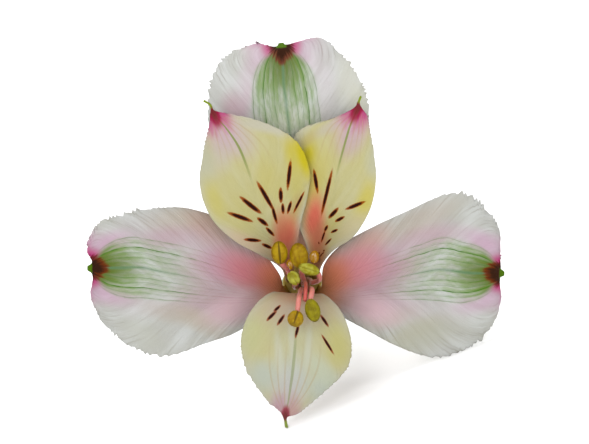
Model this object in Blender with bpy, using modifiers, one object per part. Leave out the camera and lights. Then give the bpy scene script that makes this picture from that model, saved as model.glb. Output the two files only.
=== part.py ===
"""A cut alstroemeria flower on its own stalk, lying on a table. Metres, +Z up.

The pieces are modelled in a flower frame, in millimetres: the origin is at the throat, x runs right and
y up as the face is seen from the front, and z comes out of the face. An empty then lays the flower down.
"""

import math

import bmesh
import bpy
from mathutils import Matrix, Vector

# Driving dimensions, in millimetres and degrees
MM = 0.001
GAP = 0.3
TUBE_DEPTH = 33.0
EYE = Vector((-1.6, 12.5, 450.0))
TEPAL_THICKNESS = 0.4
TEPAL_STEPS_ALONG = 18
TEPAL_STEPS_ACROSS = 8
INNER_RING = 2.5
OUTER_RING = 3.35
INNER_CLAW = 2.2
OUTER_CLAW = 2.7
CLAW_RISE = 6.0
CLAW_FLARE = 0.5
CLAW_WIDENS = 1.15
FILAMENT_RING = 1.3
FILAMENT_DIAMETER = 0.95
FILAMENT_RISE = 4.0
ANTHER_GAP = 0.5
STYLE_DIAMETER = 0.8
OVARY_LENGTH = 9.5
OVARY_RADIUS = 4.3
OVARY_FOOT_RADIUS = 1.5
OVARY_FOOT_SHARE = 0.1
OVARY_TOP_SHARE = 0.15
OVARY_SWELL_END = 0.66
OVARY_RIBS = 6
OVARY_RIB_DEPTH = 0.09
STALK_DIAMETER = 2.8
STALK_SWELL = 1.25

# How the flower lies: turned about its own axis, then leant back on to the end of its stalk
ROLL = 22.66
LEAN = 11.23
LAID_AT = (-0.34, -55.0, 24.3)

# Where each tepal and stamen stands round the ovary, anticlockwise from the right
RING_ANGLES = {
    "outer_tepal_top": 90.0, "outer_tepal_left": 210.0, "outer_tepal_right": 330.0,
    "inner_tepal_left": 150.0, "inner_tepal_right": 30.0, "inner_tepal_lower": 270.0,
    "upper": 90.0, "upper_left": 150.0, "lower_left": 210.0,
    "lower": 270.0, "lower_right": 330.0, "upper_right": 30.0,
}

# A rung of a tepal is its left edge, its middle and its right edge, looking from the base to the tip with
# the inner face towards the eye. Each point is its x and y, as the eye sees them on the plane of the
# throat, and its z. The rungs below these, at the ovary, come from the rings.
OUTER_TOP = (
    ((-4.2, 9.0, -20.8), (-0.2, 8.8, -21.5), (3.8, 9.0, -20.8)),
    ((-8.2, 15.0, -14.5), (-0.5, 14.6, -15.6), (6.6, 15.0, -14.5)),
    ((-13.4, 22.0, -9.6), (-1.0, 21.6, -10.8), (9.8, 22.0, -9.6)),
    ((-17.6, 29.0, -7.0), (-1.8, 28.8, -7.4), (12.2, 28.6, -7.2)),
    ((-18.2, 35.0, -6.0), (-2.6, 35.4, -5.2), (12.7, 34.4, -6.4)),
    ((-17.4, 40.2, -5.9), (-3.1, 40.6, -4.3), (11.3, 39.6, -6.2)),
    ((-14.6, 44.7, -6.3), (-3.6, 43.6, -4.2), (8.0, 43.8, -6.2)),
    ((-9.2, 46.9, -6.4), (-3.9, 45.4, -4.5), (3.4, 47.8, -6.2)),
    ((-5.4, 46.1, -5.4), (-4.1, 46.1, -4.9), (-2.6, 46.5, -5.4)),
    ((-4.5, 46.8, -5.3), (-4.2, 46.9, -5.2), (-3.9, 46.8, -5.3)),
)
OUTER_LEFT = (
    ((-5.2, -4.5, -20.0), (-6.2, -1.8, -21.2), (-4.7, 2.7, -20.2)),
    ((-8.6, -6.2, -14.3), (-11.0, -1.4, -15.4), (-8.0, 7.0, -16.0)),
    ((-13.2, -8.7, -10.0), (-17.0, -0.6, -11.2), (-14.0, 12.2, -12.4)),
    ((-19.0, -10.9, -7.2), (-23.4, 0.4, -8.0), (-21.8, 15.1, -9.4)),
    ((-25.8, -13.2, -6.0), (-29.6, 1.4, -5.4), (-28.6, 15.2, -7.2)),
    ((-32.2, -11.8, -5.9), (-34.6, 2.2, -4.0), (-34.4, 14.2, -6.2)),
    ((-37.6, -7.4, -6.3), (-38.0, 2.8, -3.9), (-39.0, 12.5, -6.2)),
    ((-40.4, -2.2, -6.2), (-39.6, 3.2, -4.3), (-40.7, 8.3, -6.0)),
    ((-40.3, 2.2, -5.3), (-40.4, 3.5, -4.9), (-40.4, 5.0, -5.3)),
    ((-41.3, 3.3, -5.3), (-41.4, 3.6, -5.2), (-41.3, 3.9, -5.3)),
)
OUTER_RIGHT = (
    ((4.2, 4.4, -20.2), (6.2, -1.4, -21.2), (4.6, -4.1, -20.0)),
    ((7.4, 8.1, -16.0), (11.0, -0.8, -15.4), (7.6, -5.7, -14.3)),
    ((13.4, 11.5, -12.2), (16.6, 0.2, -11.0), (12.2, -8.2, -10.0)),
    ((20.6, 14.8, -9.2), (22.4, 1.1, -7.8), (18.0, -11.3, -7.2)),
    ((28.0, 17.8, -7.2), (28.2, 1.8, -5.2), (25.0, -13.5, -6.0)),
    ((33.2, 16.8, -6.3), (33.0, 2.3, -3.9), (31.4, -11.9, -5.9)),
    ((37.0, 12.6, -6.2), (36.2, 2.6, -3.8), (36.3, -7.4, -6.3)),
    ((38.1, 7.2, -6.0), (37.4, 2.7, -4.3), (38.0, -2.6, -6.2)),
    ((37.6, 4.0, -5.3), (38.0, 2.7, -4.9), (37.6, 1.4, -5.3)),
    ((38.6, 2.9, -5.3), (38.7, 2.6, -5.2), (38.6, 2.3, -5.3)),
)
INNER_LEFT = (
    ((-4.1, 3.7, -19.6), (-2.9, 4.8, -21.2), (-1.2, 5.8, -19.6)),
    ((-7.9, 6.0, -13.2), (-4.4, 8.4, -14.6), (-1.0, 8.9, -13.6)),
    ((-13.3, 9.0, -8.6), (-6.8, 12.1, -9.8), (-0.2, 13.0, -10.0)),
    ((-17.7, 13.4, -5.6), (-8.7, 16.7, -6.2), (1.0, 17.9, -7.2)),
    ((-19.8, 19.6, -3.8), (-10.4, 22.1, -3.4), (1.3, 22.6, -4.6)),
    ((-19.2, 25.8, -3.0), (-12.3, 26.9, -1.8), (-1.2, 28.0, -2.6)),
    ((-18.3, 29.9, -2.4), (-14.8, 30.6, -1.6), (-7.1, 31.5, -1.8)),
    ((-17.9, 32.2, -2.2), (-16.7, 32.7, -1.8), (-13.5, 33.1, -1.9)),
    ((-17.7, 33.6, -2.1), (-17.4, 33.8, -2.0), (-17.0, 33.8, -2.1)),
    ((-18.0, 34.9, -1.6), (-17.8, 35.0, -1.6), (-17.6, 35.1, -1.6)),
    ((-19.1, 35.6, -0.8), (-19.0, 35.8, -0.8), (-18.9, 36.0, -0.8)),
)
INNER_RIGHT = (
    ((1.3, 5.2, -20.2), (2.5, 5.0, -21.4), (3.4, 4.0, -19.8)),
    ((0.6, 8.2, -15.6), (3.2, 9.0, -15.6), (5.8, 7.0, -13.8)),
    ((-0.8, 11.6, -12.6), (4.4, 13.2, -10.8), (9.8, 9.8, -9.4)),
    ((-2.3, 15.8, -10.0), (5.7, 17.8, -7.4), (13.0, 15.2, -6.4)),
    ((-3.3, 20.6, -8.2), (6.8, 22.8, -4.8), (14.1, 21.2, -4.6)),
    ((-2.9, 26.0, -6.4), (8.1, 27.6, -3.0), (13.4, 26.8, -3.8)),
    ((-0.4, 30.3, -4.2), (9.1, 31.0, -2.4), (12.7, 30.3, -3.2)),
    ((5.8, 32.4, -3.0), (10.0, 33.1, -2.3), (12.3, 32.4, -2.8)),
    ((9.7, 34.1, -2.6), (10.6, 34.6, -2.3), (11.4, 34.0, -2.6)),
    ((10.5, 35.4, -2.1), (10.7, 35.5, -2.0), (10.9, 35.4, -2.1)),
    ((10.9, 36.6, -1.3), (11.1, 36.7, -1.2), (11.3, 36.6, -1.3)),
)
INNER_LOWER = (
    ((1.7, -2.8, -18.5), (-0.2, -3.4, -18.5), (-2.3, -2.7, -18.5)),
    ((2.6, -2.0, -12.0), (-0.5, -2.3, -12.0), (-3.8, -1.7, -12.0)),
    ((4.0, -1.5, -7.9), (-0.8, -1.4, -7.6), (-5.8, -1.1, -7.9)),
    ((6.6, -3.6, -4.9), (-0.9, -3.0, -4.6), (-8.6, -2.9, -4.9)),
    ((8.4, -7.0, -3.6), (-1.2, -6.8, -2.6), (-10.9, -6.3, -3.6)),
    ((9.3, -11.3, -3.2), (-1.5, -11.4, -1.6), (-11.9, -10.6, -3.2)),
    ((8.7, -15.0, -3.3), (-1.9, -15.8, -1.5), (-11.1, -15.0, -3.3)),
    ((5.9, -18.4, -3.4), (-2.4, -19.4, -2.0), (-9.0, -18.7, -3.4)),
    ((2.4, -21.5, -3.4), (-2.8, -22.0, -2.6), (-6.6, -21.9, -3.4)),
    ((-1.0, -24.2, -3.6), (-3.2, -23.8, -3.1), (-4.4, -23.7, -3.6)),
    ((-3.1, -25.0, -3.6), (-3.4, -25.1, -3.5), (-3.7, -25.0, -3.6)),
    ((-2.9, -27.0, -3.2), (-3.1, -27.1, -3.1), (-3.3, -27.0, -3.2)),
)

# A stamen is the way its filament runs, the middle of its anther, the way the anther points, and the
# anther's length, width and depth. All are seen as the tepals are, with x, y and z.
STAMENS = {
    "upper_left": (
        ((-1.5, 1.5, -22.0), (-2.3, 2.0, -15.0), (-3.2, 3.6, -10.5)),
        (-4.5, 6.6, -7.6),
        (-0.1, 1.0, 0.3),
        (4.7, 3.0, 2.6),
    ),
    "upper": (
        ((0.0, 1.7, -22.0), (0.1, 1.5, -15.0), (-0.2, 2.6, -11.4)),
        (-0.75, 6.0, -8.4),
        (-0.15, 1.0, 0.2),
        (5.2, 3.4, 2.6),
    ),
    "upper_right": (
        ((1.5, 1.2, -22.0), (1.9, 0.9, -14.0), (3.2, 1.4, -8.2)),
        (1.2, 3.4, -4.4),
        (-1.0, 0.3, 0.3),
        (4.5, 2.1, 2.1),
    ),
    "lower_left": (
        ((-1.5, 0.0, -22.0), (-1.6, 0.3, -12.0), (-1.2, 0.8, -4.6)),
        (-1.75, 1.7, -0.6),
        (-0.2, 0.3, 1.0),
        (4.0, 2.1, 2.7),
    ),
    "lower_right": (
        ((1.3, -0.6, -22.0), (1.5, -0.4, -11.0), (1.8, -0.6, -1.2)),
        (1.9, -4.5, 2.4),
        (0.26, -1.0, 0.2),
        (4.6, 2.7, 2.3),
    ),
    "lower": (
        ((0.0, -1.4, -22.0), (-0.3, -0.5, -9.0), (-0.7, -2.0, 1.0)),
        (-1.4, -6.1, 4.2),
        (-0.2, -0.55, 0.8),
        (4.0, 2.9, 2.5),
    ),
}
STYLE_ROUTE = ((0.15, 0.3, -20.0), (0.5, 0.9, -8.0), (0.55, -0.4, -0.6), (0.45, -2.6, 1.4))
STALK_ROUTE = ((0.2, -0.4, -60.0), (1.0, -0.9, -80.0), (1.7, -0.6, -100.0), (1.6, 0.9, -119.0))


def seen_from_eye(point):
    """The point in the flower frame at this z that the eye sees at this x and y of the throat's plane."""
    x, y, z = point
    nearer = (EYE.z - z) / EYE.z
    return Vector((EYE.x + (x - EYE.x) * nearer, EYE.y + (y - EYE.y) * nearer, z))


def on_curve(points, place):
    """A point on the smooth curve through the points, with place from 0 at the first to 1 at the last."""
    last = len(points) - 1
    at = min(max(place, 0.0), 1.0) * last
    i = min(int(at), last - 1)
    s = at - i
    b, c = points[i], points[i + 1]
    a = points[i - 1] if i > 0 else 2 * b - c
    d = points[i + 2] if i + 2 <= last else 2 * c - b
    return 0.5 * (2 * b + (c - a) * s + (2 * a - 5 * b + 4 * c - d) * s**2 + (3 * b - a - 3 * c + d) * s**3)


def make_material(name, colour, roughness):
    """A plain surface in the piece's own colour."""
    material = bpy.data.materials.new(name)
    material.use_nodes = True
    shader = material.node_tree.nodes["Principled BSDF"]
    shader.inputs["Base Color"].default_value = (*colour, 1.0)
    shader.inputs["Roughness"].default_value = roughness
    shader.inputs["Metallic"].default_value = 0.0
    return material


def add_piece(name, data, material):
    """Puts a piece in the flower's collection, on the empty that lays the flower down."""
    piece = bpy.data.objects.new(name, data)
    data.materials.append(material)
    flower_collection.objects.link(piece)
    piece.parent = flower_axis
    return piece


def claw_rung(angle, radius, width, z):
    """The left edge, middle and right edge of a claw that stands on its ring at this height."""
    outward = Vector((math.cos(angle), math.sin(angle), 0.0))
    leftward = Vector((-math.sin(angle), math.cos(angle), 0.0))
    middle = outward * radius + Vector((0.0, 0.0, z))
    return middle + leftward * width / 2, middle, middle - leftward * width / 2


def make_tepal(name, radius, claw, rungs, material):
    """A thin curved sheet through the rungs, from the claw at the ovary to the pointed tip."""
    angle = math.radians(RING_ANGLES[name])
    ladder = [claw_rung(angle, radius, claw, -TUBE_DEPTH)]
    ladder.append(claw_rung(angle, radius + CLAW_FLARE, claw * CLAW_WIDENS, -TUBE_DEPTH + CLAW_RISE))
    ladder.extend(tuple(seen_from_eye(point) for point in rung) for rung in rungs)
    edges = [[rung[i] for rung in ladder] for i in range(3)]
    bm = bmesh.new()
    bmesh.ops.create_grid(bm, x_segments=TEPAL_STEPS_ACROSS, y_segments=TEPAL_STEPS_ALONG, size=1.0)
    for vert in bm.verts:
        across, along = vert.co.x, (vert.co.y + 1.0) / 2.0
        left, middle, right = (on_curve(edge, along) for edge in edges)
        bow = (left + right) / 2 - middle
        vert.co = (middle + (right - left) / 2 * across + bow * across**2) * MM
    mesh = bpy.data.meshes.new(name)
    bm.to_mesh(mesh)
    bm.free()
    mesh.shade_smooth()
    piece = add_piece(name, mesh, material)
    wall = piece.modifiers.new("thickness", "SOLIDIFY")
    wall.thickness = TEPAL_THICKNESS * MM
    wall.offset = 0.0
    return piece


def make_strand(name, route, diameter, material, tip=0.85, steps=14, sides=2):
    """A round strand along the route, a little thinner towards its end."""
    curve = bpy.data.curves.new(name, "CURVE")
    curve.dimensions = "3D"
    curve.bevel_depth = diameter / 2 * MM
    curve.bevel_resolution = sides
    curve.use_fill_caps = True
    spline = curve.splines.new("POLY")
    spline.points.add(steps)
    for i, point in enumerate(spline.points):
        place = i / steps
        point.co = (*(on_curve(route, place) * MM), 1.0)
        point.radius = 1.0 + (tip - 1.0) * place
    return add_piece(name, curve, material)


def make_stamen(name, path, middle, points_along, size):
    """A filament that rises from the ovary, and the anther at its end."""
    centre = seen_from_eye(middle)
    along = Vector(points_along).normalized()
    anther = bmesh.new()
    bmesh.ops.create_uvsphere(anther, u_segments=12, v_segments=8, radius=0.5)
    bmesh.ops.scale(anther, vec=(size[1], size[2], size[0]), verts=anther.verts)
    turn = along.to_track_quat("Z", "Y").to_matrix()
    bmesh.ops.rotate(anther, matrix=turn, verts=anther.verts)
    bmesh.ops.translate(anther, vec=centre, verts=anther.verts)
    bmesh.ops.scale(anther, vec=(MM, MM, MM), verts=anther.verts)
    mesh = bpy.data.meshes.new("anther_" + name)
    anther.to_mesh(mesh)
    anther.free()
    mesh.shade_smooth()
    add_piece("anther_" + name, mesh, anther_brown)

    # The filament stops just short of the anther's near end, with room for its own thickness
    near_end = centre - along * (size[0] / 2 + ANTHER_GAP)
    angle = math.radians(RING_ANGLES[name])
    foot = Vector((math.cos(angle), math.sin(angle), 0.0)) * FILAMENT_RING
    foot.z = -TUBE_DEPTH
    above_foot = foot + Vector((0.0, 0.0, FILAMENT_RISE))
    route = [foot, above_foot, *(seen_from_eye(p) for p in path), near_end]
    make_strand("filament_" + name, route, FILAMENT_DIAMETER, filament_pink)


def ovary_radius(height):
    """The ovary swells from its foot to its widest near the top, and draws in a little above that."""
    swell = math.sin(math.pi * OVARY_SWELL_END * height)
    return OVARY_FOOT_RADIUS + (OVARY_RADIUS - OVARY_FOOT_RADIUS) * swell


def ovary_outline(place):
    """Radius and z of the ovary's skin, from place 0 at the middle of its foot to 1 at the top."""
    foot_z = -TUBE_DEPTH - GAP - OVARY_LENGTH
    if place < OVARY_FOOT_SHARE:
        return OVARY_FOOT_RADIUS * place / OVARY_FOOT_SHARE, foot_z
    if place > 1.0 - OVARY_TOP_SHARE:
        return ovary_radius(1.0) * (1.0 - place) / OVARY_TOP_SHARE, foot_z + OVARY_LENGTH
    height = (place - OVARY_FOOT_SHARE) / (1.0 - OVARY_FOOT_SHARE - OVARY_TOP_SHARE)
    return ovary_radius(height), foot_z + OVARY_LENGTH * height


def make_ovary(material):
    """A closed swollen body with six soft ribs, flat on top where the tepals and stamens stand."""
    bm = bmesh.new()
    bmesh.ops.create_uvsphere(bm, u_segments=24, v_segments=16, radius=1.0)
    for vert in bm.verts:
        place = math.acos(max(-1.0, min(1.0, -vert.co.z))) / math.pi
        radius, z = ovary_outline(place)
        angle = math.atan2(vert.co.y, vert.co.x)
        valley = (0.5 - 0.5 * math.cos(OVARY_RIBS * angle)) * math.sin(math.pi * place)
        radius *= 1.0 - OVARY_RIB_DEPTH * valley
        vert.co = Vector((radius * math.cos(angle), radius * math.sin(angle), z)) * MM
    mesh = bpy.data.meshes.new("ovary")
    bm.to_mesh(mesh)
    bm.free()
    mesh.shade_smooth()
    return add_piece("ovary", mesh, material)


for old in list(bpy.data.objects):
    bpy.data.objects.remove(old, do_unlink=True)

flower_collection = bpy.data.collections.new("alstroemeria_flower")
bpy.context.scene.collection.children.link(flower_collection)

# The empty turns the face to -Y and leans it back, so that the stalk's cut end meets the table
flower_axis = bpy.data.objects.new("flower_axis", None)
flower_collection.objects.link(flower_axis)
face_to_front = Matrix.Rotation(math.radians(90.0 - LEAN), 4, "X")
roll = Matrix.Rotation(math.radians(-ROLL), 4, "Z")
flower_axis.matrix_world = Matrix.Translation(Vector(LAID_AT) * MM) @ face_to_front @ roll

tepal_white = make_material("white_tepal", (0.82, 0.83, 0.78), 0.5)
tepal_cream = make_material("cream_tepal", (0.82, 0.72, 0.5), 0.5)
filament_pink = make_material("pink_filament", (0.75, 0.28, 0.2), 0.45)
anther_brown = make_material("ochre_anther", (0.32, 0.16, 0.01), 0.7)
style_red = make_material("red_style", (0.6, 0.1, 0.08), 0.4)
stalk_green = make_material("green_stalk", (0.16, 0.3, 0.06), 0.5)

make_tepal("outer_tepal_top", OUTER_RING, OUTER_CLAW, OUTER_TOP, tepal_white)
make_tepal("outer_tepal_left", OUTER_RING, OUTER_CLAW, OUTER_LEFT, tepal_white)
make_tepal("outer_tepal_right", OUTER_RING, OUTER_CLAW, OUTER_RIGHT, tepal_white)
make_tepal("inner_tepal_left", INNER_RING, INNER_CLAW, INNER_LEFT, tepal_cream)
make_tepal("inner_tepal_right", INNER_RING, INNER_CLAW, INNER_RIGHT, tepal_cream)
make_tepal("inner_tepal_lower", INNER_RING, INNER_CLAW, INNER_LOWER, tepal_cream)

for stamen, shape in STAMENS.items():
    make_stamen(stamen, *shape)

style_foot = Vector((0.0, 0.0, -TUBE_DEPTH))
style_route = [style_foot, *(seen_from_eye(p) for p in STYLE_ROUTE)]
make_strand("style", style_route, STYLE_DIAMETER, style_red)
make_ovary(stalk_green)

stalk_top = Vector((0.0, 0.0, -TUBE_DEPTH - OVARY_LENGTH - 2 * GAP))
stalk_route = [stalk_top, *(Vector(p) for p in STALK_ROUTE)]
make_strand("stalk", stalk_route, STALK_DIAMETER * STALK_SWELL, stalk_green, 1 / STALK_SWELL, 20, 3)
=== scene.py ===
"""The looks of a cut alstroemeria flower: veined tepals, stamens, ovary and stalk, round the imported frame.

Lengths are in millimetres in the flower frame: the origin is at the throat, x runs right and y up as the
face is seen from the front, and z comes out of the face. Finished meshes are laid down in metres.
"""

import math

import bmesh
import bpy
from mathutils import Matrix, Vector, noise


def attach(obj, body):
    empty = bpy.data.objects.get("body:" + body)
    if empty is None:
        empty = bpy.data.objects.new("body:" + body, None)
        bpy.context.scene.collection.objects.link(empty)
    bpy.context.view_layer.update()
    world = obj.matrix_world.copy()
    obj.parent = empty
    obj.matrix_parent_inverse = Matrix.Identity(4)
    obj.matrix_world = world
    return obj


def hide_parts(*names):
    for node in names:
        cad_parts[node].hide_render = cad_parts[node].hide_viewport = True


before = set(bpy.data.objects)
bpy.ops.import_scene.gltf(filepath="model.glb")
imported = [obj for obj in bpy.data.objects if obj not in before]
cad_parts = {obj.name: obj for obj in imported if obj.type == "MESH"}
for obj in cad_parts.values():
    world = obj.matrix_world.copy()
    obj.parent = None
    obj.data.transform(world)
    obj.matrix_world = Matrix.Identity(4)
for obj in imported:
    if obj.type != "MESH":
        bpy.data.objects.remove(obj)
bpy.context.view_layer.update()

# How the flower lies, as in the frame
MM = 0.001
ROLL = 22.66
LEAN = 11.23
LAID_AT = (-0.34, -55.0, 24.3)
EYE = Vector((-1.6, 12.5, 450.0))
LAY_DOWN = (
    Matrix.Translation(Vector(LAID_AT) * MM)
    @ Matrix.Rotation(math.radians(90.0 - LEAN), 4, "X")
    @ Matrix.Rotation(math.radians(-ROLL), 4, "Z")
    @ Matrix.Scale(MM, 4)
)

# Sizes in the flower frame
TUBE_DEPTH = 33.0
SEAT_DEPTH = 0.5
TEPAL_THICKNESS = 0.38
INNER_RING, OUTER_RING = 2.5, 3.35
INNER_CLAW, OUTER_CLAW = 2.2, 2.7
CLAW_RISE, CLAW_FLARE, CLAW_WIDENS = 6.0, 0.5, 1.15
FILAMENT_RING, FILAMENT_RISE = 1.3, 4.0
FILAMENT_RADIUS = 0.54
STYLE_RADIUS = 0.4
OVARY_LENGTH, OVARY_RADIUS, OVARY_FOOT_RADIUS = 9.5, 4.3, 1.5
OVARY_FOOT_SHARE, OVARY_TOP_SHARE, OVARY_SWELL_END = 0.1, 0.15, 0.66
OVARY_RIBS, OVARY_RIB_DEPTH = 6, 0.13
STALK_RADIUS_TOP, STALK_RADIUS_END = 1.75, 1.4
ANTHER_FOOT_SHARE = 0.42
FOOT_Z = -TUBE_DEPTH - SEAT_DEPTH
OVARY_FOOT_Z = -TUBE_DEPTH - OVARY_LENGTH - 0.3
STALK_TOP_Z = -TUBE_DEPTH - OVARY_LENGTH - 0.1

# A tepal's sheet: its grid, the teeth of its rims, and where its folds and teeth start and end along it
STEPS_ALONG, STEPS_ACROSS = 240, 64
TEETH, TOOTH_POWER = 46.0, 1.4
FOLDS_START, TEETH_START, TEETH_END = (0.22, 0.45), (0.45, 0.65), (0.97, 0.9)
FAN_TILT = 0.3

# A tepal's paint: how close its lines lie, half an outer blade's breadth, where a patch is full, how much of
# its length and width a streak keeps, and each set of an outer tepal's veins, with its number to a side, its
# width, its strength and its start
FINE_LINES, BROAD_LINES = 75.0, 14.0
BLADE_HALF = 16.0
PATCH_CORE = 0.15
STREAK_LONG, STREAK_WIDE = 0.92, 0.42
VEIN_SETS = ((3.0, 0.16, 0.95, 0.0), (3.0, 0.12, 0.45, 0.5), (6.0, 0.09, 0.3, 0.25))
SIDES = ("_face", "_back")

# The studio: how much brighter than its surface a white sheet looks, the floor in metres, and the lens in
# millimetres
STUDIO_GAIN = 1.45
FLOOR_HALF, FLOOR_BEND, FLOOR_RADIUS = 2.0, 0.5, 0.8
CAMERA_LENS = 143.0

RING_ANGLES = {
    "outer_tepal_top": 90.0, "outer_tepal_left": 210.0, "outer_tepal_right": 330.0,
    "inner_tepal_left": 150.0, "inner_tepal_right": 30.0, "inner_tepal_lower": 270.0,
    "upper": 90.0, "upper_left": 150.0, "lower_left": 210.0,
    "lower": 270.0, "lower_right": 330.0, "upper_right": 30.0,
}

# A rung of a tepal is its left edge, its middle and its right edge, looking from the base to the tip with
# the inner face towards the eye. Each point has x and y as the eye sees them on the plane of the throat,
# and z.
OUTER_TOP = (
    ((-4.2, 9.0, -20.8), (-0.2, 8.8, -21.5), (3.8, 9.0, -20.8)),
    ((-8.2, 15.0, -14.5), (-0.5, 14.6, -15.6), (6.6, 15.0, -14.5)),
    ((-13.4, 22.0, -9.6), (-1.0, 21.6, -10.8), (9.8, 22.0, -9.6)),
    ((-17.6, 29.0, -7.0), (-1.8, 28.8, -7.4), (12.2, 28.6, -7.2)),
    ((-18.2, 35.0, -6.0), (-2.6, 35.4, -5.2), (12.7, 34.4, -6.4)),
    ((-17.4, 40.2, -5.9), (-3.1, 40.6, -4.3), (11.3, 39.6, -6.2)),
    ((-14.6, 44.7, -6.3), (-3.6, 43.6, -4.2), (8.0, 43.8, -6.2)),
    ((-9.2, 46.9, -6.4), (-3.9, 45.4, -4.5), (3.4, 47.8, -6.2)),
    ((-5.4, 46.1, -5.4), (-4.1, 46.1, -4.9), (-2.6, 46.5, -5.4)),
    ((-4.5, 46.8, -5.3), (-4.2, 46.9, -5.2), (-3.9, 46.8, -5.3)),
)
OUTER_LEFT = (
    ((-5.2, -4.5, -20.0), (-6.2, -1.8, -21.2), (-4.7, 2.7, -20.2)),
    ((-8.6, -6.2, -14.3), (-11.0, -1.4, -15.4), (-8.0, 7.0, -16.0)),
    ((-13.2, -8.7, -10.0), (-17.0, -0.6, -11.2), (-14.0, 12.2, -12.4)),
    ((-19.0, -10.9, -7.2), (-23.4, 0.4, -8.0), (-21.8, 15.1, -9.4)),
    ((-25.8, -13.2, -6.0), (-29.6, 1.4, -5.4), (-28.6, 15.2, -7.2)),
    ((-32.2, -11.8, -5.9), (-34.6, 2.2, -4.0), (-34.4, 14.2, -6.2)),
    ((-37.6, -7.4, -6.3), (-38.0, 2.8, -3.9), (-39.0, 12.5, -6.2)),
    ((-40.4, -2.2, -6.2), (-39.6, 3.2, -4.3), (-40.7, 8.3, -6.0)),
    ((-40.3, 2.2, -5.3), (-40.4, 3.5, -4.9), (-40.4, 5.0, -5.3)),
    ((-41.3, 3.3, -5.3), (-41.4, 3.6, -5.2), (-41.3, 3.9, -5.3)),
)
OUTER_RIGHT = (
    ((4.2, 4.4, -20.2), (6.2, -1.4, -21.2), (4.6, -4.1, -20.0)),
    ((7.4, 8.1, -16.0), (11.0, -0.8, -15.4), (7.6, -5.7, -14.3)),
    ((13.4, 11.5, -12.2), (16.6, 0.2, -11.0), (12.2, -8.2, -10.0)),
    ((20.6, 14.8, -9.2), (22.4, 1.1, -7.8), (18.0, -11.3, -7.2)),
    ((28.0, 17.8, -7.2), (28.2, 1.8, -5.2), (25.0, -13.5, -6.0)),
    ((33.2, 16.8, -6.3), (33.0, 2.3, -3.9), (31.4, -11.9, -5.9)),
    ((37.0, 12.6, -6.2), (36.2, 2.6, -3.8), (36.3, -7.4, -6.3)),
    ((38.1, 7.2, -6.0), (37.4, 2.7, -4.3), (38.0, -2.6, -6.2)),
    ((37.6, 4.0, -5.3), (38.0, 2.7, -4.9), (37.6, 1.4, -5.3)),
    ((38.6, 2.9, -5.3), (38.7, 2.6, -5.2), (38.6, 2.3, -5.3)),
)
INNER_LEFT = (
    ((-4.1, 3.7, -19.6), (-2.9, 4.8, -21.2), (-1.2, 5.8, -19.6)),
    ((-7.9, 6.0, -13.2), (-4.4, 8.4, -14.6), (-1.0, 8.9, -13.6)),
    ((-13.3, 9.0, -8.6), (-6.8, 12.1, -9.8), (-0.2, 13.0, -10.0)),
    ((-17.7, 13.4, -5.6), (-8.7, 16.7, -6.2), (1.0, 17.9, -7.2)),
    ((-19.8, 19.6, -3.8), (-10.4, 22.1, -3.4), (1.3, 22.6, -4.6)),
    ((-19.2, 25.8, -3.0), (-12.3, 26.9, -1.8), (-1.2, 28.0, -2.6)),
    ((-18.3, 29.9, -2.4), (-14.8, 30.6, -1.6), (-7.1, 31.5, -1.8)),
    ((-17.9, 32.2, -2.2), (-16.7, 32.7, -1.8), (-13.5, 33.1, -1.9)),
    ((-17.7, 33.6, -2.1), (-17.4, 33.8, -2.0), (-17.0, 33.8, -2.1)),
    ((-18.0, 34.9, -1.6), (-17.8, 35.0, -1.6), (-17.6, 35.1, -1.6)),
    ((-19.1, 35.6, -0.8), (-19.0, 35.8, -0.8), (-18.9, 36.0, -0.8)),
)
INNER_RIGHT = (
    ((1.3, 5.2, -20.2), (2.5, 5.0, -21.4), (3.4, 4.0, -19.8)),
    ((0.6, 8.2, -15.6), (3.2, 9.0, -15.6), (5.8, 7.0, -13.8)),
    ((-0.8, 11.6, -12.6), (4.4, 13.2, -10.8), (9.8, 9.8, -9.4)),
    ((-2.3, 15.8, -10.0), (5.7, 17.8, -7.4), (13.0, 15.2, -6.4)),
    ((-3.3, 20.6, -8.2), (6.8, 22.8, -4.8), (14.1, 21.2, -4.6)),
    ((-2.9, 26.0, -6.4), (8.1, 27.6, -3.0), (13.4, 26.8, -3.8)),
    ((-0.4, 30.3, -4.2), (9.1, 31.0, -2.4), (12.7, 30.3, -3.2)),
    ((5.8, 32.4, -3.0), (10.0, 33.1, -2.3), (12.3, 32.4, -2.8)),
    ((9.7, 34.1, -2.6), (10.6, 34.6, -2.3), (11.4, 34.0, -2.6)),
    ((10.5, 35.4, -2.1), (10.7, 35.5, -2.0), (10.9, 35.4, -2.1)),
    ((10.9, 36.6, -1.3), (11.1, 36.7, -1.2), (11.3, 36.6, -1.3)),
)
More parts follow.
